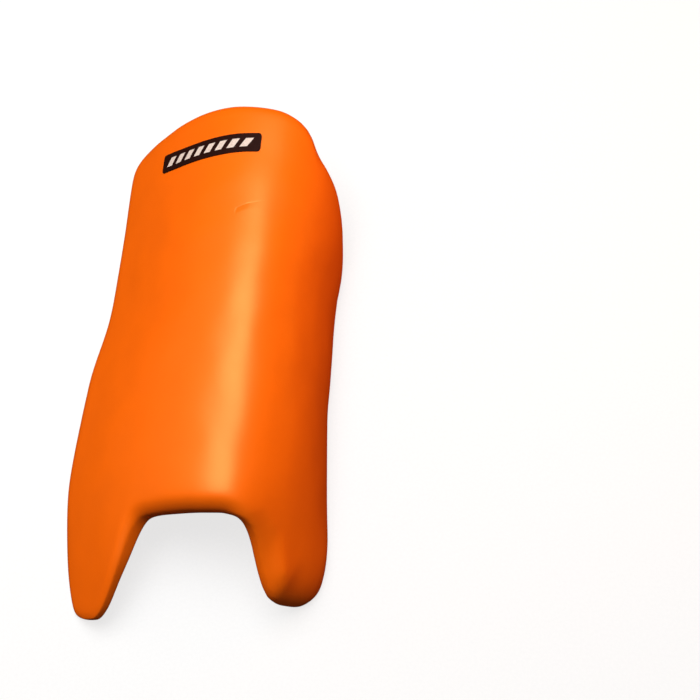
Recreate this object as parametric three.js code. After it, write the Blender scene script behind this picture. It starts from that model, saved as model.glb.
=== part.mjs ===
// Goalkeeper leg guard: a moulded foam shell that wraps the shin, a label on its front and back straps.
// Millimetres. The guard lies on its open back: +Z is the front of the shin, +Y runs from the foot
// to the knee, and +X is the inner side of the leg. The outer wing spreads towards -X, and the inner
// wall drops steeply at +X.

import * as THREE from 'three';
import { mergeVertices } from 'three/addons/utils/BufferGeometryUtils.js';

// Outer face at stations along the leg: x of the outer rim and of the inner wall, the crest's height,
// how full the shoulder is between the crest and the inner wall, and the foam's thickness at the rims.
const STATIONS = [
  { along: 0, rim: -143.5, wall: 131, height: 116, full: 0.42, thick: 12 },
  { along: 60, rim: -158, wall: 130, height: 131, full: 0.48, thick: 13 },
  { along: 150, rim: -171, wall: 121, height: 136, full: 0.85, thick: 21 },
  { along: 260, rim: -167, wall: 114, height: 138, full: 1, thick: 26 },
  { along: 350, rim: -154, wall: 114, height: 140.5, full: 1, thick: 26 },
  { along: 450, rim: -153, wall: 120, height: 137, full: 1.12, thick: 26 },
  { along: 575, rim: -156, wall: 107, height: 126.5, full: 1.4, thick: 26 },
];

// Share of the way from the foam's thickness at the rims to its full thickness.
const FOAM_SHARE = [
  { around: 0.0, share: 0 },
  { around: 0.2, share: 0.12 },
  { around: 0.32, share: 0.65 },
  { around: 0.5, share: 1 },
  { around: 0.74, share: 0.8 },
  { around: 0.9, share: 0.75 },
  { around: 1.0, share: 0.3 },
];

// Foot edge: the outer flap, the arch over the foot and the inner tongue.
// around runs over the section, from 0 at the outer rim to 1 at the inner rim.
const FOOT_EDGE = [
  { around: 0.0, along: 45 },
  { around: 0.012, along: 15 },
  { around: 0.03, along: 2 },
  { around: 0.09, along: -2 },
  { around: 0.12, along: -2 },
  { around: 0.15, along: 3 },
  { around: 0.2, along: 23.5 },
  { around: 0.245, along: 51 },
  { around: 0.282, along: 83 },
  { around: 0.3, along: 94.5 },
  { around: 0.34, along: 98.5 },
  { around: 0.55, along: 102 },
  { around: 0.61, along: 98.5 },
  { around: 0.64, along: 94 },
  { around: 0.66, along: 88.5 },
  { around: 0.69, along: 75.5 },
  { around: 0.72, along: 58.5 },
  { around: 0.757, along: 34 },
  { around: 0.782, along: 26.5 },
  { around: 0.84, along: 23 },
  { around: 0.89, along: 24 },
  { around: 0.94, along: 28 },
  { around: 0.975, along: 40 },
  { around: 1.0, along: 68 },
];

// Knee edge: a low bow over the front, then a step down to the inner wall.
const KNEE_EDGE = [
  { around: 0.0, along: 510 },
  { around: 0.02, along: 538 },
  { around: 0.06, along: 550 },
  { around: 0.16, along: 562 },
  { around: 0.25, along: 568 },
  { around: 0.34, along: 571 },
  { around: 0.43, along: 570 },
  { around: 0.52, along: 566 },
  { around: 0.6, along: 562 },
  { around: 0.65, along: 555 },
  { around: 0.69, along: 545 },
  { around: 0.715, along: 532 },
  { around: 0.733, along: 519 },
  { around: 0.77, along: 511 },
  { around: 0.834, along: 496 },
  { around: 1.0, along: 415 },
];

// Flat cut of the foot edge: how far in the front rounds over to it, how square that round is, and where
// the cut starts below the front and ends above the back, as shares of the thickness.
const FOOT_CUT = [
  { around: 0.0, round: 12, square: 2, front: 0.3, back: 0.6 },
  { around: 0.14, round: 9, square: 1.6, front: 0.3, back: 0.82 },
  { around: 0.26, round: 10, square: 1.6, front: 0.32, back: 0.82 },
  { around: 0.33, round: 15, square: 1.5, front: 0.48, back: 0.9 },
  { around: 0.57, round: 15, square: 1.5, front: 0.48, back: 0.9 },
  { around: 0.63, round: 16, square: 1.6, front: 0.22, back: 0.48 },
  { around: 0.69, round: 19, square: 1.3, front: 0.36, back: 0.6 },
  { around: 0.73, round: 20, square: 1.25, front: 0.52, back: 0.76 },
  { around: 0.77, round: 20, square: 1.3, front: 0.56, back: 0.82 },
  { around: 0.85, round: 44, square: 1.8, front: 0.9, back: 0.96 },
  { around: 0.94, round: 44, square: 1.8, front: 0.9, back: 0.96 },
  { around: 1.0, round: 24, square: 2, front: 0.3, back: 0.8 },
];
const KNEE_CUT = { front: 0.32, back: 0.68 };

// The front and the back meet at the side rims, at this share of the thickness.
const SIDE_MEET = 0.5;

// Shape of the section, whose two curves meet on the crest.
// A pull is a share of the crest height, or of the half width that it runs along.
// The inner wall runs a little below the floor, so that its rim is cut to a flat foot.
const CREST_X = 24;
const CREST_AROUND = 0.56;
const WING_LEAN = THREE.MathUtils.degToRad(46);
const WING_PULL = 0.52;
const CREST_PULL = 0.36;
const SHOULDER_PULL = 0.56;
const WALL_LEAN = THREE.MathUtils.degToRad(3);
const WALL_PULL = 0.5;
const WALL_SINK = 5;
const SECTION_STEPS = 60;

// Foam wall and its edges.
const FRONT_THICK = 34;
const EDGE_ROUND = 15;
const EDGE_SQUARENESS = 2;
const EDGE_STOPS = [0, 0.1, 0.3, 0.6, 1];
const MIDDLE_COLUMNS = 41;
const MIDDLE_ROWS = 24;

// Label band on the front, below the knee edge.
const LABEL = { from: 0.2, to: 0.555, along: 511, rise: 5, height: 24.5, corner: 4, thick: 1 };
const LABEL_COLUMNS = 26;
const LABEL_ROWS = 5;

// Back straps: flat webbing whose end tabs lie against the inside of the foam.
const STRAPS = [
  { name: 'ankle_strap', along: 165 },
  { name: 'calf_strap', along: 285 },
  { name: 'knee_strap', along: 395 },
];
const STRAP_WIDTH = 40;
const STRAP_THICK = 2.2;
const STRAP_BEND = 26;
const WING_TAB = { from: 0.245, to: 0.145 };
const WALL_TAB = { from: 0.925, to: 0.825 };
const TAB_COLUMNS = 7;
const SPAN_COLUMNS = 15;
const STRAP_ROWS = 4;

// Air between pieces that lie against each other.
const GAP = 0.3;

const FOAM = new THREE.MeshStandardMaterial({ color: 0xf5690a, roughness: 0.45, metalness: 0 });
const LABEL_FILM = new THREE.MeshStandardMaterial({ color: 0x2b1410, roughness: 0.5, metalness: 0 });
const WEBBING = new THREE.MeshStandardMaterial({ color: 0x17171a, roughness: 0.85, metalness: 0 });

// Smooth curve through the rows of a table, which never swings past a row.
function smoothTable(rows, keyColumn, valueColumn) {
  const keys = rows.map((row) => row[keyColumn]);
  const values = rows.map((row) => row[valueColumn]);
  const last = keys.length - 1;
  const rise = (i) => (values[i + 1] - values[i]) / (keys[i + 1] - keys[i]);
  const slopes = keys.map((_, i) => {
    if (i === 0) return rise(0);
    if (i === last) return rise(last - 1);
    const before = rise(i - 1);
    const after = rise(i);
    return before * after <= 0 ? 0 : (2 * before * after) / (before + after);
  });
  return (key) => {
    const clamped = THREE.MathUtils.clamp(key, keys[0], keys[last]);
    const next = keys.findIndex((stop, i) => i > 0 && clamped <= stop);
    const span = keys[next] - keys[next - 1];
    const t = (clamped - keys[next - 1]) / span;
    const fall = (1 - t) * (1 - t);
    return (
      values[next - 1] * (1 + 2 * t) * fall +
      slopes[next - 1] * span * t * fall +
      values[next] * t * t * (3 - 2 * t) -
      slopes[next] * span * t * t * (1 - t)
    );
  };
}

const rimAt = smoothTable(STATIONS, 'along', 'rim');
const wallAt = smoothTable(STATIONS, 'along', 'wall');
const heightAt = smoothTable(STATIONS, 'along', 'height');
const fullAt = smoothTable(STATIONS, 'along', 'full');
const rimThickAt = smoothTable(STATIONS, 'along', 'thick');
const foamShareAt = smoothTable(FOAM_SHARE, 'around', 'share');
const footAt = smoothTable(FOOT_EDGE, 'around', 'along');
const kneeAt = smoothTable(KNEE_EDGE, 'around', 'along');
const footRoundAt = smoothTable(FOOT_CUT, 'around', 'round');
const footSquareAt = smoothTable(FOOT_CUT, 'around', 'square');
const footFrontAt = smoothTable(FOOT_CUT, 'around', 'front');
const footBackAt = smoothTable(FOOT_CUT, 'around', 'back');

function stepFrom(point, angle, length) {
  return new THREE.Vector2(Math.cos(angle), Math.sin(angle)).multiplyScalar(length).add(point);
}

// Section of the outer face: a curve from the outer rim to the crest, then one to the inner rim.
function sectionAt(along) {
  const height = heightAt(along);
  const full = fullAt(along);
  const rim = new THREE.Vector2(rimAt(along), 0);
  const crest = new THREE.Vector2(CREST_X, height);
  const wall = new THREE.Vector2(wallAt(along), -WALL_SINK);
  const upWing = stepFrom(rim, WING_LEAN, WING_PULL * height);
  const upWall = stepFrom(wall, Math.PI / 2 - WALL_LEAN, WALL_PULL * full * height);
  const beforeCrest = stepFrom(crest, Math.PI, CREST_PULL * (CREST_X - rim.x));
  const afterCrest = stepFrom(crest, 0, SHOULDER_PULL * full * (wall.x - CREST_X));
  const wing = new THREE.CubicBezierCurve(rim, upWing, beforeCrest, crest);
  const shoulder = new THREE.CubicBezierCurve(crest, afterCrest, upWall, wall);
  wing.arcLengthDivisions = SECTION_STEPS;
  shoulder.arcLengthDivisions = SECTION_STEPS;
  return { wing, shoulder };
}

const MIDDLE_SECTION = sectionAt(STATIONS.at(-1).along / 2);
const AROUND_LENGTH = MIDDLE_SECTION.wing.getLength() + MIDDLE_SECTION.shoulder.getLength();

function facePoint(around, along) {
  const { wing, shoulder } = sectionAt(along);
  const flat =
    around < CREST_AROUND
      ? wing.getPointAt(around / CREST_AROUND)
      : shoulder.getPointAt((around - CREST_AROUND) / (1 - CREST_AROUND));
  return new THREE.Vector3(flat.x, along, flat.y);
}

function faceNormal(around, along) {
  const aroundStep = 0.004;
  const alongStep = 2;
  const low = Math.max(around - aroundStep, 0);
  const high = Math.min(around + aroundStep, 1);
  const across = facePoint(high, along).sub(facePoint(low, along));
  const lengthwise = facePoint(around, along + alongStep).sub(facePoint(around, along - alongStep));
  return across.cross(lengthwise).normalize();
}

// Point at a depth below the outer face, square to it.
function foamPoint(around, along, depth) {
  return facePoint(around, along).addScaledVector(faceNormal(around, along), -depth);
}

function thickAt(around, along) {
  return THREE.MathUtils.lerp(rimThickAt(along), FRONT_THICK, foamShareAt(around));
}

// Squared-off round: 0 on an edge, and 1 from a radius in.
function roundOver(distance, radius, squareness = EDGE_SQUARENESS) {
  const inset = THREE.MathUtils.clamp(1 - distance / radius, 0, 1);
  return (1 - inset ** squareness) ** (1 / squareness);
}

// Closed body between a front and a back grid of points, which meet or are walled in along their borders.
function closedBody(front, back) {
  const columns = front.length;
  const rows = front[0].length;
  const positions = [...front, ...back].flatMap((column) => column.flatMap((point) => point.toArray()));
  const frontAt = (i, j) => i * rows + j;
  const backAt = (i, j) => (columns + i) * rows + j;
  const right = columns - 1;
  const top = rows - 1;
  const triangles = [];
  const quad = (a, b, c, d) => triangles.push([a, b, c], [a, c, d]);
  for (let i = 0; i < right; i += 1) {
    for (let j = 0; j < top; j += 1) {
      quad(frontAt(i, j), frontAt(i + 1, j), frontAt(i + 1, j + 1), frontAt(i, j + 1));
      quad(backAt(i, j), backAt(i, j + 1), backAt(i + 1, j + 1), backAt(i + 1, j));
    }
    quad(frontAt(i, 0), backAt(i, 0), backAt(i + 1, 0), frontAt(i + 1, 0));
    quad(frontAt(i + 1, top), backAt(i + 1, top), backAt(i, top), frontAt(i, top));
  }
  for (let j = 0; j < top; j += 1) {
    quad(frontAt(0, j + 1), backAt(0, j + 1), backAt(0, j), frontAt(0, j));
    quad(frontAt(right, j), backAt(right, j), backAt(right, j + 1), frontAt(right, j + 1));
  }
  const loose = new THREE.BufferGeometry();
  loose.setAttribute('position', new THREE.Float32BufferAttribute(positions, 3));
  loose.setIndex(triangles.flat());
  const body = mergeVertices(loose);
  body.setIndex(openTriangles(Array.from(body.index.array)).flat());
  body.computeVertexNormals();
  return body;
}

// Triangles that enclose something: one with a repeated corner is dropped, and so is a pair back to back.
function openTriangles(index) {
  const triangles = [];
  for (let i = 0; i < index.length; i += 3) {
    triangles.push(index.slice(i, i + 3));
  }
  const whole = triangles.filter((corners) => new Set(corners).size === 3);
  const nameOf = (corners) => corners.toSorted((a, b) => a - b).join();
  const uses = Map.groupBy(whole, nameOf);
  return whole.filter((corners) => uses.get(nameOf(corners)).length === 1);
}

function evenStops(count, from, to) {
  return Array.from({ length: count }, (_, i) => THREE.MathUtils.lerp(from, to, i / (count - 1)));
}

// Stops from one end to the other, close together where both ends round over.
function roundedStops(from, to, fromRound, toRound, middleCount) {
  const first = EDGE_STOPS.map((stop) => from + stop * fromRound);
  const last = EDGE_STOPS.map((stop) => to - stop * toRound).reverse();
  const middle = evenStops(middleCount + 2, first.at(-1), last[0]).slice(1, -1);
  return [...first, ...middle, ...last];
}

// How far an edge runs lengthwise for each millimetre that it is crossed square to itself.
function edgeStretch(edgeAt, around) {
  const step = 0.005;
  const low = Math.max(around - step, 0);
  const high = Math.min(around + step, 1);
  const slope = (edgeAt(high) - edgeAt(low)) / ((high - low) * AROUND_LENGTH);
  return Math.hypot(1, slope);
}

function foamShell() {
  const sideRound = EDGE_ROUND / AROUND_LENGTH;
  const front = [];
  const back = [];
  for (const around of roundedStops(0, 1, sideRound, sideRound, MIDDLE_COLUMNS)) {
    const foot = footAt(around);
    const knee = kneeAt(around);
    const footStretch = edgeStretch(footAt, around);
    const footRound = footRoundAt(around) * footStretch;
    const backRound = EDGE_ROUND * footStretch;
    const kneeRound = EDGE_ROUND * edgeStretch(kneeAt, around);
    const sideLevel = roundOver(Math.min(around, 1 - around), sideRound);
    const frontColumn = [];
    const backColumn = [];
    for (const along of roundedStops(foot, knee, footRound, kneeRound, MIDDLE_ROWS)) {
      const thick = thickAt(around, along);
      const kneeFall = 1 - roundOver(knee - along, kneeRound);
      const frontFall = 1 - roundOver(along - foot, footRound, footSquareAt(around));
      const backFall = 1 - roundOver(along - foot, backRound);
      const frontShare = footFrontAt(around) * frontFall + KNEE_CUT.front * kneeFall;
      const backShare = 1 - (1 - footBackAt(around)) * backFall - (1 - KNEE_CUT.back) * kneeFall;
      const frontDepth = thick * THREE.MathUtils.lerp(SIDE_MEET, frontShare, sideLevel);
      const backDepth = thick * THREE.MathUtils.lerp(SIDE_MEET, backShare, sideLevel);
      frontColumn.push(foamPoint(around, along, frontDepth));
      backColumn.push(foamPoint(around, along, backDepth));
    }
    front.push(frontColumn);
    back.push(backColumn);
  }
  // The rear rims are cut flat where the guard lies on them.
  [...front, ...back].flat().forEach((point) => point.setZ(Math.max(point.z, 0)));
  return closedBody(front, back);
}

function labelBand() {
  const cornerShare = LABEL.corner / ((LABEL.to - LABEL.from) * AROUND_LENGTH);
  const front = [];
  const back = [];
  for (const share of roundedStops(0, 1, cornerShare, cornerShare, LABEL_COLUMNS)) {
    const around = THREE.MathUtils.lerp(LABEL.from, LABEL.to, share);
    const cut = LABEL.corner * (1 - roundOver(Math.min(share, 1 - share), cornerShare));
    const middle = LABEL.along + LABEL.rise * (1 - share) ** 2;
    const half = LABEL.height / 2 - cut;
    const stops = evenStops(LABEL_ROWS, middle - half, middle + half);
    front.push(stops.map((along) => foamPoint(around, along, -GAP - LABEL.thick)));
    back.push(stops.map((along) => foamPoint(around, along, -GAP)));
  }
  return closedBody(front, back);
}

// Middle line of an end tab, flat against the inside of the foam.
function tabLine({ from, to }, along) {
  return evenStops(TAB_COLUMNS, from, to).map((around) => {
    const depth = thickAt(around, along) + GAP + STRAP_THICK / 2;
    return foamPoint(around, along, depth);
  });
}

// Middle line of a strap at one place across its width: down the wing, over the open back, up the wall.
function strapLine(along) {
  const wingTab = tabLine(WING_TAB, along);
  const wallTab = tabLine(WALL_TAB, along);
  const leave = wingTab.at(-1);
  const arrive = wallTab[0];
  const leaving = leave.clone().sub(wingTab.at(-2)).setLength(STRAP_BEND).add(leave);
  const arriving = arrive.clone().sub(wallTab[1]).setLength(STRAP_BEND).add(arrive);
  const span = new THREE.CubicBezierCurve3(leave, leaving, arriving, arrive);
  return [...wingTab, ...span.getPoints(SPAN_COLUMNS).slice(1, -1), ...wallTab];
}

function strap(along) {
  const front = [];
  const back = [];
  const half = STRAP_WIDTH / 2;
  for (const place of evenStops(STRAP_ROWS, along - half, along + half)) {
    const line = new THREE.CatmullRomCurve3(strapLine(place));
    const count = line.points.length;
    const sideways = line.points.map((_, i) => {
      const tangent = line.getTangent(i / (count - 1));
      return new THREE.Vector3(-tangent.z, 0, tangent.x).normalize();
    });
    front.push(line.points.map((point, i) => point.clone().addScaledVector(sideways[i], -STRAP_THICK / 2)));
    back.push(line.points.map((point, i) => point.clone().addScaledVector(sideways[i], STRAP_THICK / 2)));
  }
  return closedBody(front, back);
}

function piece(name, geometry, material) {
  const mesh = new THREE.Mesh(geometry, material);
  mesh.name = name;
  return mesh;
}

const guard = new THREE.Group();
guard.add(piece('foam_shell', foamShell(), FOAM));
guard.add(piece('label_patch', labelBand(), LABEL_FILM));
for (const { name, along } of STRAPS) {
  guard.add(piece(name, strap(along), WEBBING));
}

// The origin is the middle of the box, on the floor.
const box = new THREE.Box3().setFromObject(guard);
const middle = box.getCenter(new THREE.Vector3());
guard.position.set(-middle.x, -middle.y, -box.min.z);

export default guard;
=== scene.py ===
"""Looks of the goalkeeper leg guard: moulded foam shell, printed front label and back webbing straps."""

import math

import bmesh
import bpy
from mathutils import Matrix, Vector


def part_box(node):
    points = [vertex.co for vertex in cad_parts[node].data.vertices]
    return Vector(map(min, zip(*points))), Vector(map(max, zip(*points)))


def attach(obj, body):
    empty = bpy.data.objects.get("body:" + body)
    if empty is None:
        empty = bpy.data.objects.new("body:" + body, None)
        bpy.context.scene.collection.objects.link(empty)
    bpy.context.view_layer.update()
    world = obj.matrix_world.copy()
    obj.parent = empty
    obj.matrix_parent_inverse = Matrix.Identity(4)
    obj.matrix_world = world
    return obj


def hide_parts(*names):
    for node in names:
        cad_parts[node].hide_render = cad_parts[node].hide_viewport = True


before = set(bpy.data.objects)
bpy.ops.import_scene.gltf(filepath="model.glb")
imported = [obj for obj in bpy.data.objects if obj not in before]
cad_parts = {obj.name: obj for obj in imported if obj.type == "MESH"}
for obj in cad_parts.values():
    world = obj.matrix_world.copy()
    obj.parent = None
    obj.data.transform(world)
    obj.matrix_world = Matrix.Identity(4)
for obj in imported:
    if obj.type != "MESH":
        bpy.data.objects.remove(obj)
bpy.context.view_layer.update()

MM = 0.001
SHARP_EDGE = math.radians(50)
MERGE_DISTANCE = 0.002 * MM

# Photograph's view: the guard lies on its open back, and the camera looks down on it from the foot end.
IMAGE_SIDE_PX = 700
FOCAL_LENGTH_PX = 1060
SENSOR_SIDE_MM = 36
VIEW_AIM = Vector((154.784, 15.70, 63.0)) * MM
VIEW_DISTANCE = 1160 * MM
VIEW_AZIMUTH = math.radians(4)
VIEW_ELEVATION = math.radians(70)

# Foam shell: how finely its moulded skin is drawn, and its soft dents, which fade out towards the floor.
FOAM_LEVELS = 2
FOAM_DENTS_PER_METRE = 13
FOAM_DENT_DEPTH = 3.5 * MM
FOAM_CALM_HEIGHT = 20 * MM

# Foam's finish: a faint mottle, a satin shine, and a relief of pebbles and fine cells.
FOAM_PATCHES_PER_METRE = 24
FOAM_DEEP_ORANGE = (0.90, 0.130, 0.0006)
FOAM_PALE_ORANGE = (0.94, 0.138, 0.0008)
FOAM_DEEP_ROUGHNESS = 0.44
FOAM_PALE_ROUGHNESS = 0.40
FOAM_REFRACTION = 1.62
FOAM_SHINE_TINT = (1.0, 0.95, 0.34, 1.0)
FOAM_PEBBLES_PER_METRE = 260
FOAM_PEBBLE_DEPTH = 0.06 * MM
FOAM_CELLS_PER_METRE = 900
FOAM_CELL_DEPTH = 0.02 * MM

# Crease pressed into the front below the label: the skin falls slowly and rises steeply at a bowed line.
# The profile runs across the line and the fade runs along it, as pairs of a place and a strength.
CREASE_START_X = 22.0 * MM
CREASE_START_Y = 133.2 * MM
CREASE_LENGTH = 36 * MM
CREASE_RISE = 13.5 * MM
CREASE_WIDTH = 8 * MM
CREASE_DEPTH = 0.8 * MM
CREASE_ABOVE = 115 * MM
CREASE_PROFILE = [(0.0, 0.0), (0.8, 1.0), (1.0, 0.0)]
CREASE_FADE = [(0.0, 0.0), (0.04, 0.8), (0.1, 1.0), (0.3, 0.8), (0.45, 0.25), (1.0, 0.0)]

# Label: a thin film on the front of the foam, with the outline of its CAD patch.
LABEL_HEIGHT = 24.5 * MM
LABEL_RISE = 5 * MM
LABEL_CORNER = 4 * MM
LABEL_THICKNESS = 0.9 * MM
LABEL_LIFT = 0.15 * MM
LABEL_COLUMNS = 170
LABEL_ROWS = 29
LABEL_MERGE_DISTANCE = 0.005 * MM
LABEL_EDGE_BEVEL = 0.22 * MM
LABEL_EDGE_STEPS = 2
RAY_HEIGHT = 1.0
RAY_LENGTH = 2.0

# Print on the label: a plain row of slanted bars.
PRINT_SLANT = 0.6
PRINT_PITCH = 16 * MM
PRINT_BAR = 9 * MM
PRINT_HEIGHT = 11 * MM
PRINT_LENGTH = 8 * PRINT_PITCH

# Label's finish: dark film and pale ink, both with a fine grain.
LABEL_GRAINS_PER_METRE = 700
LABEL_GRAIN_DEPTH = 0.03 * MM
LABEL_DEEP_FILM = (0.015, 0.0040, 0.0028)
LABEL_PALE_FILM = (0.024, 0.0065, 0.0045)
LABEL_DEEP_INK = (0.54, 0.42, 0.36)
LABEL_PALE_INK = (0.70, 0.58, 0.51)
LABEL_INK_FULL = 0.6
LABEL_DEEP_ROUGHNESS = 0.5
LABEL_PALE_ROUGHNESS = 0.62
LABEL_SHINE = 0.05

# Webbing: flat straps with lengthwise ribs.
STRAP_NAMES = ("ankle_strap", "calf_strap", "knee_strap")
STRAP_WIDTH = 40 * MM
STRAP_CAD_ROWS = 4
STRAP_ROW_CUTS = 5
STRAP_LEVELS = 2
STRAP_TURN_LIFT = 10 * MM
STRAP_RIB_PITCH = 2.4 * MM
STRAP_RIB_HEIGHT = 0.14 * MM

# Webbing's finish: crossing yarns of fine black fibres.
WEAVE_DEPTH = 0.12 * MM
WEAVE_CONTRAST = 0.25
FIBRES_PER_METRE = 1500
FIBRE_DEPTH = 0.05 * MM
FIBRE_DEEP_BLACK = (0.006, 0.006, 0.007)
FIBRE_PALE_BLACK = (0.022, 0.022, 0.025)
FIBRE_PALE_FROM = 0.8
FIBRE_DEEP_ROUGHNESS = 0.7
FIBRE_PALE_ROUGHNESS = 0.9
FIBRE_SHEEN = 0.25

# Range in which a noise mostly lies.
NOISE_LOW = 0.3
NOISE_HIGH = 0.7

# Studio: a round floor that curves up into a wall, of paper that glows a little.
COVE_FLOOR = 4.0
COVE_FLOOR_STEPS = 4
COVE_BEND = 2.0
COVE_WALL = 6.0
COVE_BEND_STEPS = 12
COVE_SIDES = 64
PAPER_GRAINS_PER_METRE = 300
PAPER_DEEP_GREY = 0.21
PAPER_PALE_GREY = 0.23
PAPER_ROUGHNESS = 0.9
PAPER_GLOW = 0.76

# Studio lights in metres and watts. One that isn't mirrored leaves no shine on the foam.
LIGHTS = [
    {
        "name": "key",
        "place": (-0.15, 0.37, 1.66),
        "aim": (0.035, -0.02, 0.138),
        "size": (1.3, 1.15),
        "power": 35,
        "colour": (1.0, 1.0, 1.0),
        "mirrored": True,
    },
    {
        "name": "wing_fill",
        "place": (-1.3, 0.25, 0.9),
        "aim": (-0.05, 0.1, 0.08),
        "size": (1.0, 1.2),
        "power": 5.6,
        "colour": (1.0, 0.85, 0.7),
        "mirrored": False,
    },
    {
        "name": "inner_side_fill",
        "place": (0.78, 0.36, 0.25),
        "aim": (0.1, 0.08, 0.06),
        "size": (0.4, 0.8),
        "power": 2.9,
        "colour": (1.0, 0.36, 0.06),
        "mirrored": False,
    },
]
ROOM_COLOUR = (1.0, 0.8, 0.65, 1.0)
ROOM_STRENGTH = 0.1


def add_node(tree, kind, inputs=None, **settings):
    """A new node with its settings, and with inputs that are values or outputs of other nodes."""
    node = tree.nodes.new(kind)
    for name, value in settings.items():
        setattr(node, name, value)
    for key, value in (inputs or {}).items():
        socket = node.inputs[key]
        if isinstance(value, bpy.types.NodeSocket):
            tree.links.new(value, socket)
        else:
            socket.default_value = value
    return node


def maths(tree, operation, *values):
    """Result of a sum on numbers or on the outputs of other nodes."""
    inputs = dict(enumerate(values))
    return add_node(tree, "ShaderNodeMath", inputs, operation=operation).outputs[0]


def vector_maths(tree, operation, *values):
    """Result of a sum on vectors."""
    inputs = dict(enumerate(values))
    return add_node(tree, "ShaderNodeVectorMath", inputs, operation=operation).outputs[0]


def scaled(tree, vector, scale):
    """A vector times a number."""
    inputs = {"Vector": vector, "Scale": scale}
    return add_node(tree, "ShaderNodeVectorMath", inputs, operation="SCALE").outputs[0]


def held(tree, value):
    """A number kept between 0 and 1."""
    return add_node(tree, "ShaderNodeClamp", {"Value": value}).outputs[0]


def parts_of(tree, vector):
    """The X, Y and Z of a vector."""
    return add_node(tree, "ShaderNodeSeparateXYZ", {0: vector}).outputs


def vector_of(tree, **parts):
    """A vector from its X, Y and Z, where one that isn't given is 0."""
    return add_node(tree, "ShaderNodeCombineXYZ", parts).outputs[0]


def start_shape_tree(name, sockets):
    """A Geometry Nodes tree with a geometry input and the named inputs, and its group input's outputs."""
    tree = bpy.data.node_groups.new(name, "GeometryNodeTree")
    tree.interface.new_socket("Shape", in_out="INPUT", socket_type="NodeSocketGeometry")
    for label, kind in sockets:
        tree.interface.new_socket(label, in_out="INPUT", socket_type="NodeSocket" + kind)
    tree.interface.new_socket("Shape", in_out="OUTPUT", socket_type="NodeSocketGeometry")
    return tree, tree.nodes.new("NodeGroupInput").outputs


def end_shape_tree(tree, shape, material):
    """Ends a tree: smooth faces, real meshes and the finish."""
    smooth = add_node(tree, "GeometryNodeSetShadeSmooth", {0: shape})
    real = add_node(tree, "GeometryNodeRealizeInstances", {0: smooth.outputs[0]})
    finished = add_node(tree, "GeometryNodeSetMaterial", {0: real.outputs[0], "Material": material})
    add_node(tree, "NodeGroupOutput", {0: finished.outputs[0]})


def moved(tree, shape, **change):
    """A shape whose points go to a Position or shift by an Offset."""
    inputs = {"Geometry": shape, **change}
    return add_node(tree, "GeometryNodeSetPosition", inputs).outputs[0]


def stored(tree, shape, name, value):
    """A shape that keeps a flat place for each corner of its faces."""
    inputs = {"Geometry": shape, "Name": name, "Value": value}
    kind = "GeometryNodeStoreNamedAttribute"
    return add_node(tree, kind, inputs, data_type="FLOAT2", domain="CORNER").outputs[0]


def new_object(name, data):
    """A new object in the scene that holds a mesh, a light or a camera."""
    made = bpy.data.objects.new(name, data)
    bpy.context.scene.collection.objects.link(made)
    return made


def shape_by(piece, tree, values):
    """Gives a piece its tree, with the tree's inputs set by their identifiers."""
    modifier = piece.modifiers.new(tree.name, "NODES")
    modifier.node_group = tree
    for item in tree.interface.items_tree:
        if item.in_out == "INPUT" and item.name in values:
            modifier[item.identifier] = values[item.name]
    return piece


def settle(piece):
    """Turns a piece into the plain mesh that its modifiers make."""
    depsgraph = bpy.context.evaluated_depsgraph_get()
    made = bpy.data.meshes.new_from_object(piece.evaluated_get(depsgraph))
    made.name = piece.name
    piece.modifiers.clear()
    piece.data = made
    return piece


def merged_copy(node):
    """Copy of a CAD node's mesh, merged and with its triangles paired into quads."""
    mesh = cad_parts[node].data.copy()
    mesh.materials.clear()
    shape = bmesh.new()
    shape.from_mesh(mesh)
    bmesh.ops.remove_doubles(shape, verts=shape.verts, dist=MERGE_DISTANCE)
    bmesh.ops.join_triangles(
        shape,
        faces=shape.faces,
        angle_face_threshold=SHARP_EDGE,
        angle_shape_threshold=math.pi,
    )
    shape.to_mesh(mesh)
    shape.free()
    return mesh


def start_material(name):
    """A new material with its node tree, its shader and places on the piece in metres."""
    material = bpy.data.materials.new(name)
    material.use_nodes = True
    tree = material.node_tree
    where = add_node(tree, "ShaderNodeTexCoord").outputs["Object"]
    return material, tree, tree.nodes["Principled BSDF"], where


def noise(tree, where, scale, detail=2.0):
    """Soft noise at a number of waves per metre."""
    inputs = {"Vector": where, "Scale": scale, "Detail": detail}
    return add_node(tree, "ShaderNodeTexNoise", inputs).outputs["Fac"]


def grey(value):
    """A grey, as a ramp's colour."""
    return (value, value, value)


def ramp(tree, factor, stops):
    """Colours at places along a factor."""
    node = add_node(tree, "ShaderNodeValToRGB", {"Fac": factor})
    bands = node.color_ramp.elements
    while len(bands) < len(stops):
        bands.new(0.5)
    for band, (place, colour) in zip(bands, stops):
        band.position = place
        band.color = (*colour, 1.0)
    return node.outputs["Color"]


def level_ramp(tree, factor, stops):
    """Strengths at places along a factor."""
    return ramp(tree, factor, [(place, grey(strength)) for place, strength in stops])


def mixed(tree, share, first, second):
    """Colour between two colours. The mix node keeps its colours at fixed places among its sockets."""
    first_colour = 6
    second_colour = 7
    mixed_colour = 2
    inputs = {0: share, first_colour: first, second_colour: second}
    return add_node(tree, "ShaderNodeMix", inputs, data_type="RGBA").outputs[mixed_colour]


def relief(tree, heights):
    """Bump from pairs of a height field and its depth in metres, finest last."""
    normal = None
    for field, depth in heights:
        inputs = {"Height": field, "Distance": depth, "Strength": 1.0}
        if normal is not None:
            inputs["Normal"] = normal
        normal = add_node(tree, "ShaderNodeBump", inputs).outputs["Normal"]
    return normal


def dress(tree, shader, colour, roughness, normal):
    """Leads a colour, a roughness and a bump to the shader."""
    tree.links.new(colour, shader.inputs["Base Color"])
    tree.links.new(roughness, shader.inputs["Roughness"])
    tree.links.new(normal, shader.inputs["Normal"])


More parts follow.
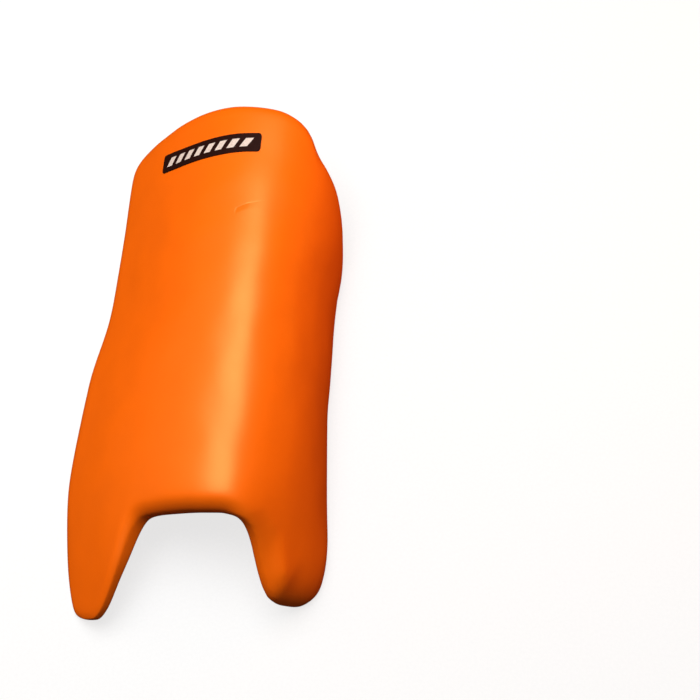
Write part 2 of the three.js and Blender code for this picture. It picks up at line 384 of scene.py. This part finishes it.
def crease(tree, where):
    """Height of the pressed crease: 1 on the flat skin, and down to 0 beside the line."""
    place = parts_of(tree, where)
    run = maths(tree, "SUBTRACT", place["X"], CREASE_START_X)
    share = held(tree, maths(tree, "DIVIDE", run, CREASE_LENGTH))
    bow = maths(tree, "MULTIPLY", maths(tree, "SQRT", share), CREASE_RISE)
    beside = maths(tree, "SUBTRACT", maths(tree, "SUBTRACT", place["Y"], CREASE_START_Y), bow)
    drop = level_ramp(tree, maths(tree, "DIVIDE", beside, CREASE_WIDTH), CREASE_PROFILE)
    fade = level_ramp(tree, share, CREASE_FADE)
    front = maths(tree, "GREATER_THAN", place["Z"], CREASE_ABOVE)
    pressed = maths(tree, "MULTIPLY", maths(tree, "MULTIPLY", drop, fade), front)
    return maths(tree, "SUBTRACT", 1.0, pressed)


def foam_material():
    """Orange closed-cell foam with a moulded skin: satin, faintly mottled and finely pebbled."""
    material, tree, shader, where = start_material("orange_moulded_foam")
    patches = noise(tree, where, FOAM_PATCHES_PER_METRE, detail=3.0)
    pebbles = noise(tree, where, FOAM_PEBBLES_PER_METRE, detail=3.0)
    cells = noise(tree, where, FOAM_CELLS_PER_METRE)
    colour = ramp(tree, patches, [(NOISE_LOW, FOAM_DEEP_ORANGE), (NOISE_HIGH, FOAM_PALE_ORANGE)])
    roughness = level_ramp(
        tree, patches, [(NOISE_LOW, FOAM_DEEP_ROUGHNESS), (NOISE_HIGH, FOAM_PALE_ROUGHNESS)]
    )
    heights = [
        (crease(tree, where), CREASE_DEPTH),
        (pebbles, FOAM_PEBBLE_DEPTH),
        (cells, FOAM_CELL_DEPTH),
    ]
    dress(tree, shader, colour, roughness, relief(tree, heights))
    shader.inputs["IOR"].default_value = FOAM_REFRACTION
    shader.inputs["Specular Tint"].default_value = FOAM_SHINE_TINT
    return material


def printed_bars(tree):
    """1 on the bars of the print, and 0 beside them."""
    place = parts_of(tree, add_node(tree, "ShaderNodeUVMap", uv_map="print").outputs[0])
    slanted = maths(tree, "SUBTRACT", place["X"], maths(tree, "MULTIPLY", place["Y"], PRINT_SLANT))
    beat = maths(tree, "PINGPONG", slanted, PRINT_PITCH / 2)
    bar = maths(tree, "GREATER_THAN", beat, (PRINT_PITCH - PRINT_BAR) / 2)
    low = maths(tree, "LESS_THAN", maths(tree, "ABSOLUTE", place["Y"]), PRINT_HEIGHT / 2)
    inside = maths(tree, "LESS_THAN", maths(tree, "ABSOLUTE", slanted), PRINT_LENGTH / 2)
    return maths(tree, "MULTIPLY", maths(tree, "MULTIPLY", bar, low), inside)


def label_material():
    """Dark printed film with a plain row of slanted pale bars."""
    material, tree, shader, where = start_material("printed_label_film")
    grain = noise(tree, where, LABEL_GRAINS_PER_METRE, detail=4.0)
    film = ramp(tree, grain, [(NOISE_LOW, LABEL_DEEP_FILM), (NOISE_HIGH, LABEL_PALE_FILM)])
    ink = ramp(tree, grain, [(NOISE_LOW, LABEL_DEEP_INK), (LABEL_INK_FULL, LABEL_PALE_INK)])
    colour = mixed(tree, printed_bars(tree), film, ink)
    roughness = level_ramp(
        tree, grain, [(NOISE_LOW, LABEL_DEEP_ROUGHNESS), (NOISE_HIGH, LABEL_PALE_ROUGHNESS)]
    )
    dress(tree, shader, colour, roughness, relief(tree, [(grain, LABEL_GRAIN_DEPTH)]))
    shader.inputs["Specular IOR Level"].default_value = LABEL_SHINE
    return material


def webbing_material():
    """Black woven webbing: crossing yarns with a dull sheen."""
    material, tree, shader, where = start_material("black_webbing")
    place = parts_of(tree, add_node(tree, "ShaderNodeUVMap", uv_map="weave").outputs[0])
    turn = 2 * math.pi / STRAP_RIB_PITCH
    over = maths(tree, "SINE", maths(tree, "MULTIPLY", place["X"], turn))
    along = maths(tree, "SINE", maths(tree, "MULTIPLY", place["Y"], turn))
    weave = maths(tree, "MULTIPLY", over, along)
    fibre = noise(tree, where, FIBRES_PER_METRE)
    tone = maths(tree, "ADD", maths(tree, "MULTIPLY", weave, WEAVE_CONTRAST), fibre)
    colour = ramp(tree, tone, [(NOISE_LOW, FIBRE_DEEP_BLACK), (FIBRE_PALE_FROM, FIBRE_PALE_BLACK)])
    roughness = level_ramp(
        tree, fibre, [(NOISE_LOW, FIBRE_DEEP_ROUGHNESS), (NOISE_HIGH, FIBRE_PALE_ROUGHNESS)]
    )
    dress(tree, shader, colour, roughness, relief(tree, [(weave, WEAVE_DEPTH), (fibre, FIBRE_DEPTH)]))
    shader.inputs["Sheen Weight"].default_value = FIBRE_SHEEN
    return material


def paper_material():
    """Pale studio paper, which glows a little so that shadows on it stay light."""
    material, tree, shader, where = start_material("pale_studio_paper")
    grain = noise(tree, where, PAPER_GRAINS_PER_METRE, detail=3.0)
    colour = level_ramp(tree, grain, [(NOISE_LOW, PAPER_DEEP_GREY), (NOISE_HIGH, PAPER_PALE_GREY)])
    tree.links.new(colour, shader.inputs["Base Color"])
    shader.inputs["Roughness"].default_value = PAPER_ROUGHNESS
    shader.inputs["Specular IOR Level"].default_value = 0.0
    shader.inputs["Emission Color"].default_value = (1, 1, 1, 1)
    shader.inputs["Emission Strength"].default_value = PAPER_GLOW
    return material


def foam_tree(material):
    """Tree of the shell: rounds the moulded form and gives its skin soft dents."""
    sizes = [
        ("Levels", "Int"),
        ("Dents per metre", "Float"),
        ("Dent depth", "Float"),
        ("Calm height", "Float"),
    ]
    tree, given = start_shape_tree("moulded_foam", sizes)
    inputs = {"Mesh": given["Shape"], "Level": given["Levels"]}
    rounded = add_node(tree, "GeometryNodeSubdivisionSurface", inputs).outputs[0]
    where = add_node(tree, "GeometryNodeInputPosition").outputs[0]
    uneven = maths(tree, "SUBTRACT", noise(tree, where, given["Dents per metre"], detail=1.0), 0.5)
    dent = maths(tree, "MULTIPLY", uneven, given["Dent depth"])
    height = parts_of(tree, where)["Z"]
    above_floor = held(tree, maths(tree, "DIVIDE", height, given["Calm height"]))
    lift = maths(tree, "MULTIPLY", dent, above_floor)
    outward = add_node(tree, "GeometryNodeInputNormal").outputs[0]
    dented = moved(tree, rounded, Offset=scaled(tree, outward, lift))
    end_shape_tree(tree, dented, material)
    return tree


def foam_guard(material):
    """The moulded shell, drawn smooth over its CAD solid."""
    piece = new_object("foam_guard", merged_copy("foam_shell"))
    values = {
        "Levels": FOAM_LEVELS,
        "Dents per metre": FOAM_DENTS_PER_METRE,
        "Dent depth": FOAM_DENT_DEPTH,
        "Calm height": FOAM_CALM_HEIGHT,
    }
    return settle(shape_by(piece, foam_tree(material), values))


def dropped_on(tree, target, place):
    """Where a place comes to lie on a target below it, and the target's normal there."""
    high = vector_maths(tree, "MULTIPLY_ADD", place, (1, 1, 0), (0, 0, RAY_HEIGHT))
    inputs = {
        "Target Geometry": target,
        "Source Position": high,
        "Ray Direction": (0, 0, -1),
        "Ray Length": RAY_LENGTH,
    }
    hit = add_node(tree, "GeometryNodeRaycast", inputs)
    return hit.outputs["Hit Position"], hit.outputs["Hit Normal"]


def label_middle(tree, given, foam):
    """Middle line of the label: a straight line that is bowed and dropped on the foam."""
    ends = {"Start": given["Start"], "End": given["End"]}
    line = add_node(tree, "GeometryNodeCurvePrimitiveLine", ends).outputs[0]
    inputs = {"Curve": line, "Count": given["Columns"]}
    dense = add_node(tree, "GeometryNodeResampleCurve", inputs).outputs[0]
    share = add_node(tree, "GeometryNodeSplineParameter").outputs["Factor"]
    fall = maths(tree, "POWER", maths(tree, "SUBTRACT", 1.0, share), 2.0)
    bow = vector_of(tree, Y=maths(tree, "MULTIPLY", fall, given["Rise"]))
    here = add_node(tree, "GeometryNodeInputPosition").outputs[0]
    on_foam, _ = dropped_on(tree, foam, vector_maths(tree, "ADD", here, bow))
    return moved(tree, dense, Position=on_foam)


def label_band(tree, given, share, length):
    """Height of the label at a share of its length, less where its corners are round."""
    from_end = maths(tree, "MULTIPLY", maths(tree, "PINGPONG", share, 0.5), length)
    inset = maths(tree, "SUBTRACT", 1.0, maths(tree, "DIVIDE", from_end, given["Corner"]))
    inset = maths(tree, "MAXIMUM", inset, 0.0)
    full = maths(tree, "SQRT", maths(tree, "SUBTRACT", 1.0, maths(tree, "MULTIPLY", inset, inset)))
    cut = maths(tree, "MULTIPLY", maths(tree, "SUBTRACT", 1.0, full), given["Corner"])
    return maths(tree, "SUBTRACT", given["Height"], maths(tree, "MULTIPLY", cut, 2.0))


def thickened(tree, sheet, thickness):
    """A closed film from a sheet."""
    inputs = {"Mesh": sheet, "Offset Scale": thickness, "Individual": False}
    raised = add_node(tree, "GeometryNodeExtrudeMesh", inputs).outputs["Mesh"]
    under = add_node(tree, "GeometryNodeFlipFaces", {0: sheet}).outputs[0]
    both = tree.nodes.new("GeometryNodeJoinGeometry")
    tree.links.new(raised, both.inputs[0])
    tree.links.new(under, both.inputs[0])
    inputs = {"Geometry": both.outputs[0], "Distance": LABEL_MERGE_DISTANCE}
    return add_node(tree, "GeometryNodeMergeByDistance", inputs).outputs[0]


def label_tree(material):
    """Tree of the label: a band with round corners, laid on the foam along a curved middle line."""
    sizes = [
        ("Foam", "Object"),
        ("Start", "Vector"),
        ("End", "Vector"),
        ("Rise", "Float"),
        ("Height", "Float"),
        ("Corner", "Float"),
        ("Lift", "Float"),
        ("Thickness", "Float"),
        ("Columns", "Int"),
        ("Rows", "Int"),
    ]
    tree, given = start_shape_tree("label_band", sizes)
    inputs = {"Object": given["Foam"]}
    info = add_node(tree, "GeometryNodeObjectInfo", inputs, transform_space="RELATIVE")
    foam = info.outputs["Geometry"]
    middle = label_middle(tree, given, foam)
    length = add_node(tree, "GeometryNodeCurveLength", {0: middle}).outputs[0]

    inputs = {"Vertices X": given["Columns"], "Vertices Y": given["Rows"]}
    grid = add_node(tree, "GeometryNodeMeshGrid", inputs)
    cell = parts_of(tree, grid.outputs["UV Map"])
    band = label_band(tree, given, cell["X"], length)
    across = maths(tree, "MULTIPLY", maths(tree, "SUBTRACT", cell["Y"], 0.5), band)
    inputs = {"Curves": middle, "Factor": cell["X"]}
    sample = add_node(tree, "GeometryNodeSampleCurve", inputs, use_all_curves=True)
    spot = vector_maths(tree, "ADD", sample.outputs["Position"], vector_of(tree, Y=across))
    on_foam, outward = dropped_on(tree, foam, spot)
    lifted = vector_maths(tree, "ADD", on_foam, scaled(tree, outward, given["Lift"]))
    laid = moved(tree, grid.outputs[0], Position=lifted)

    from_middle = maths(tree, "MULTIPLY", maths(tree, "SUBTRACT", cell["X"], 0.5), length)
    marked = stored(tree, laid, "print", vector_of(tree, X=from_middle, Y=across))
    end_shape_tree(tree, thickened(tree, marked, given["Thickness"]), material)
    return tree


def front_label(material, foam):
    """The label film, laid on the foam where the CAD patch is."""
    low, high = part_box("label_patch")
    middle_y = low.y + LABEL_HEIGHT / 2
    piece = new_object("front_label", bpy.data.meshes.new("front_label"))
    values = {
        "Foam": foam,
        "Start": (low.x + LABEL_THICKNESS, middle_y, 0),
        "End": (high.x, middle_y, 0),
        "Rise": LABEL_RISE,
        "Height": LABEL_HEIGHT,
        "Corner": LABEL_CORNER,
        "Lift": LABEL_LIFT,
        "Thickness": LABEL_THICKNESS,
        "Columns": LABEL_COLUMNS,
        "Rows": LABEL_ROWS,
    }
    shape_by(piece, label_tree(material), values)
    bevel = piece.modifiers.new("soft_edge", "BEVEL")
    bevel.limit_method = "ANGLE"
    bevel.angle_limit = SHARP_EDGE
    bevel.width = LABEL_EDGE_BEVEL
    bevel.segments = LABEL_EDGE_STEPS
    return settle(piece)


def strap_tree(material):
    """Tree of a strap: a smooth run with sharp borders, and ribs along it."""
    sizes = [
        ("Levels", "Int"),
        ("Rib pitch", "Float"),
        ("Rib height", "Float"),
        ("Sharp edge", "Float"),
    ]
    tree, given = start_shape_tree("webbing_strap", sizes)
    angle = add_node(tree, "GeometryNodeInputMeshEdgeAngle").outputs["Unsigned Angle"]
    border = maths(tree, "GREATER_THAN", angle, given["Sharp edge"])
    inputs = {"Mesh": given["Shape"], "Level": given["Levels"], "Edge Crease": border}
    smooth = add_node(tree, "GeometryNodeSubdivisionSurface", inputs).outputs[0]
    across = add_node(tree, "GeometryNodeInputNamedAttribute", {"Name": "across"}).outputs[0]
    along = add_node(tree, "GeometryNodeInputNamedAttribute", {"Name": "along"}).outputs[0]
    turn = maths(tree, "DIVIDE", 2 * math.pi, given["Rib pitch"])
    rib = maths(tree, "COSINE", maths(tree, "MULTIPLY", across, turn))
    lift = maths(tree, "MULTIPLY", rib, given["Rib height"])
    outward = add_node(tree, "GeometryNodeInputNormal").outputs[0]
    ribbed = moved(tree, smooth, Offset=scaled(tree, outward, lift))
    marked = stored(tree, ribbed, "weave", vector_of(tree, X=across, Y=along))
    end_shape_tree(tree, marked, material)
    return tree


def strap_mesh(node):
    """Copy of a CAD strap, cut finer across and marked with its distances across and along."""
    mesh = merged_copy(node)
    low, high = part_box(node)
    middle = (low + high) / 2
    last_row = STRAP_CAD_ROWS - 1
    row_step = STRAP_WIDTH / last_row
    shape = bmesh.new()
    shape.from_mesh(mesh)
    across = shape.verts.layers.float.new("across")
    along = shape.verts.layers.float.new("along")

    for vert in shape.verts:
        row = round((vert.co.y - middle.y) / row_step + last_row / 2)
        vert[across] = min(max(row, 0), last_row) * row_step - STRAP_WIDTH / 2

    def turn(vert):
        """Angle at which a point is seen from above the strap's middle."""
        return math.atan2(vert.co.z - high.z - STRAP_TURN_LIFT, vert.co.x - middle.x)

    run = 0.0
    before = None
    for vert in sorted(shape.verts, key=turn):
        flat = Vector((vert.co.x, 0, vert.co.z))
        if before is not None:
            run += (flat - before).length / (2 * STRAP_CAD_ROWS)
        vert[along] = run
        before = flat

    def crosses(edge):
        """True of an edge that leads from one row to the next."""
        first, second = edge.verts
        return abs(first[across] - second[across]) > row_step / 2

    rungs = [edge for edge in shape.edges if crosses(edge)]
    bmesh.ops.subdivide_edges(shape, edges=rungs, cuts=STRAP_ROW_CUTS, use_grid_fill=True)
    shape.to_mesh(mesh)
    shape.free()
    return mesh


def webbing_straps(material):
    """The back straps, ribbed, each over its CAD solid."""
    tree = strap_tree(material)
    values = {
        "Levels": STRAP_LEVELS,
        "Rib pitch": STRAP_RIB_PITCH,
        "Rib height": STRAP_RIB_HEIGHT,
        "Sharp edge": SHARP_EDGE,
    }
    pieces = []
    for node in STRAP_NAMES:
        piece = new_object(node + "_webbing", strap_mesh(node))
        pieces.append(settle(shape_by(piece, tree, values)))
    return pieces


def studio_cove(material):
    """A plain floor that curves up into a round wall. It shows, but throws no light back at the guard."""
    floor_steps = range(COVE_FLOOR_STEPS + 1)
    rings = [(COVE_FLOOR * step / COVE_FLOOR_STEPS, 0.0) for step in floor_steps]
    for step in range(1, COVE_BEND_STEPS + 1):
        turn = math.pi / 2 * step / COVE_BEND_STEPS
        rings.append((COVE_FLOOR + COVE_BEND * math.sin(turn), COVE_BEND * (1 - math.cos(turn))))
    rings.append((COVE_FLOOR + COVE_BEND, COVE_WALL))
    shape = bmesh.new()
    profile = [shape.verts.new((radius, 0, height)) for radius, height in rings]
    edges = [shape.edges.new(pair) for pair in zip(profile, profile[1:])]
    bmesh.ops.spin(shape, geom=profile + edges, axis=(0, 0, 1), angle=2 * math.pi, steps=COVE_SIDES)
    bmesh.ops.remove_doubles(shape, verts=shape.verts, dist=MM)
    bmesh.ops.recalc_face_normals(shape, faces=shape.faces)
    mesh = bpy.data.meshes.new("studio_cove")
    shape.to_mesh(mesh)
    shape.free()
    mesh.polygons.foreach_set("use_smooth", [True] * len(mesh.polygons))
    mesh.materials.append(material)
    cove = new_object("studio_cove", mesh)
    cove.visible_diffuse = False
    cove.visible_glossy = False
    cove.visible_shadow = False


def soft_box(name, place, aim, size, power, colour, mirrored):
    """A rectangular studio light that faces a point, and shows in glossy surfaces or not."""
    light = bpy.data.lights.new(name, "AREA")
    light.shape = "RECTANGLE"
    light.size, light.size_y = size
    light.energy = power
    light.color = colour
    holder = new_object(name, light)
    holder.location = place
    holder.rotation_euler = (Vector(aim) - Vector(place)).to_track_quat("-Z", "Y").to_euler()
    holder.visible_glossy = mirrored


def studio_lights():
    """A large key light overhead, weak fills from both sides and a dim warm room."""
    for light in LIGHTS:
        soft_box(**light)
    world = bpy.data.worlds.new("studio")
    bpy.context.scene.world = world
    world.use_nodes = True
    backdrop = world.node_tree.nodes["Background"]
    backdrop.inputs["Color"].default_value = ROOM_COLOUR
    backdrop.inputs["Strength"].default_value = ROOM_STRENGTH
    world.cycles_visibility.glossy = False
    bpy.context.scene.view_settings.view_transform = "Standard"


def photo_camera():
    """The camera of the photograph's view."""
    data = bpy.data.cameras.new("photo_camera")
    data.sensor_width = SENSOR_SIDE_MM
    data.lens = SENSOR_SIDE_MM * FOCAL_LENGTH_PX / IMAGE_SIDE_PX
    back = Vector(
        (
            math.sin(VIEW_AZIMUTH) * math.cos(VIEW_ELEVATION),
            -math.cos(VIEW_AZIMUTH) * math.cos(VIEW_ELEVATION),
            math.sin(VIEW_ELEVATION),
        )
    )
    camera = new_object("photo_camera", data)
    camera.location = VIEW_AIM + back * VIEW_DISTANCE
    camera.rotation_euler = (-back).to_track_quat("-Z", "Y").to_euler()
    bpy.context.scene.camera = camera


foam = foam_guard(foam_material())
label = front_label(label_material(), foam)
straps = webbing_straps(webbing_material())

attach(foam, "root")
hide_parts("foam_shell")

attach(label, "root")
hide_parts("label_patch")

for node, strap in zip(STRAP_NAMES, straps):
    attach(strap, "root")
    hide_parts(node)

studio_cove(paper_material())
studio_lights()
photo_camera()
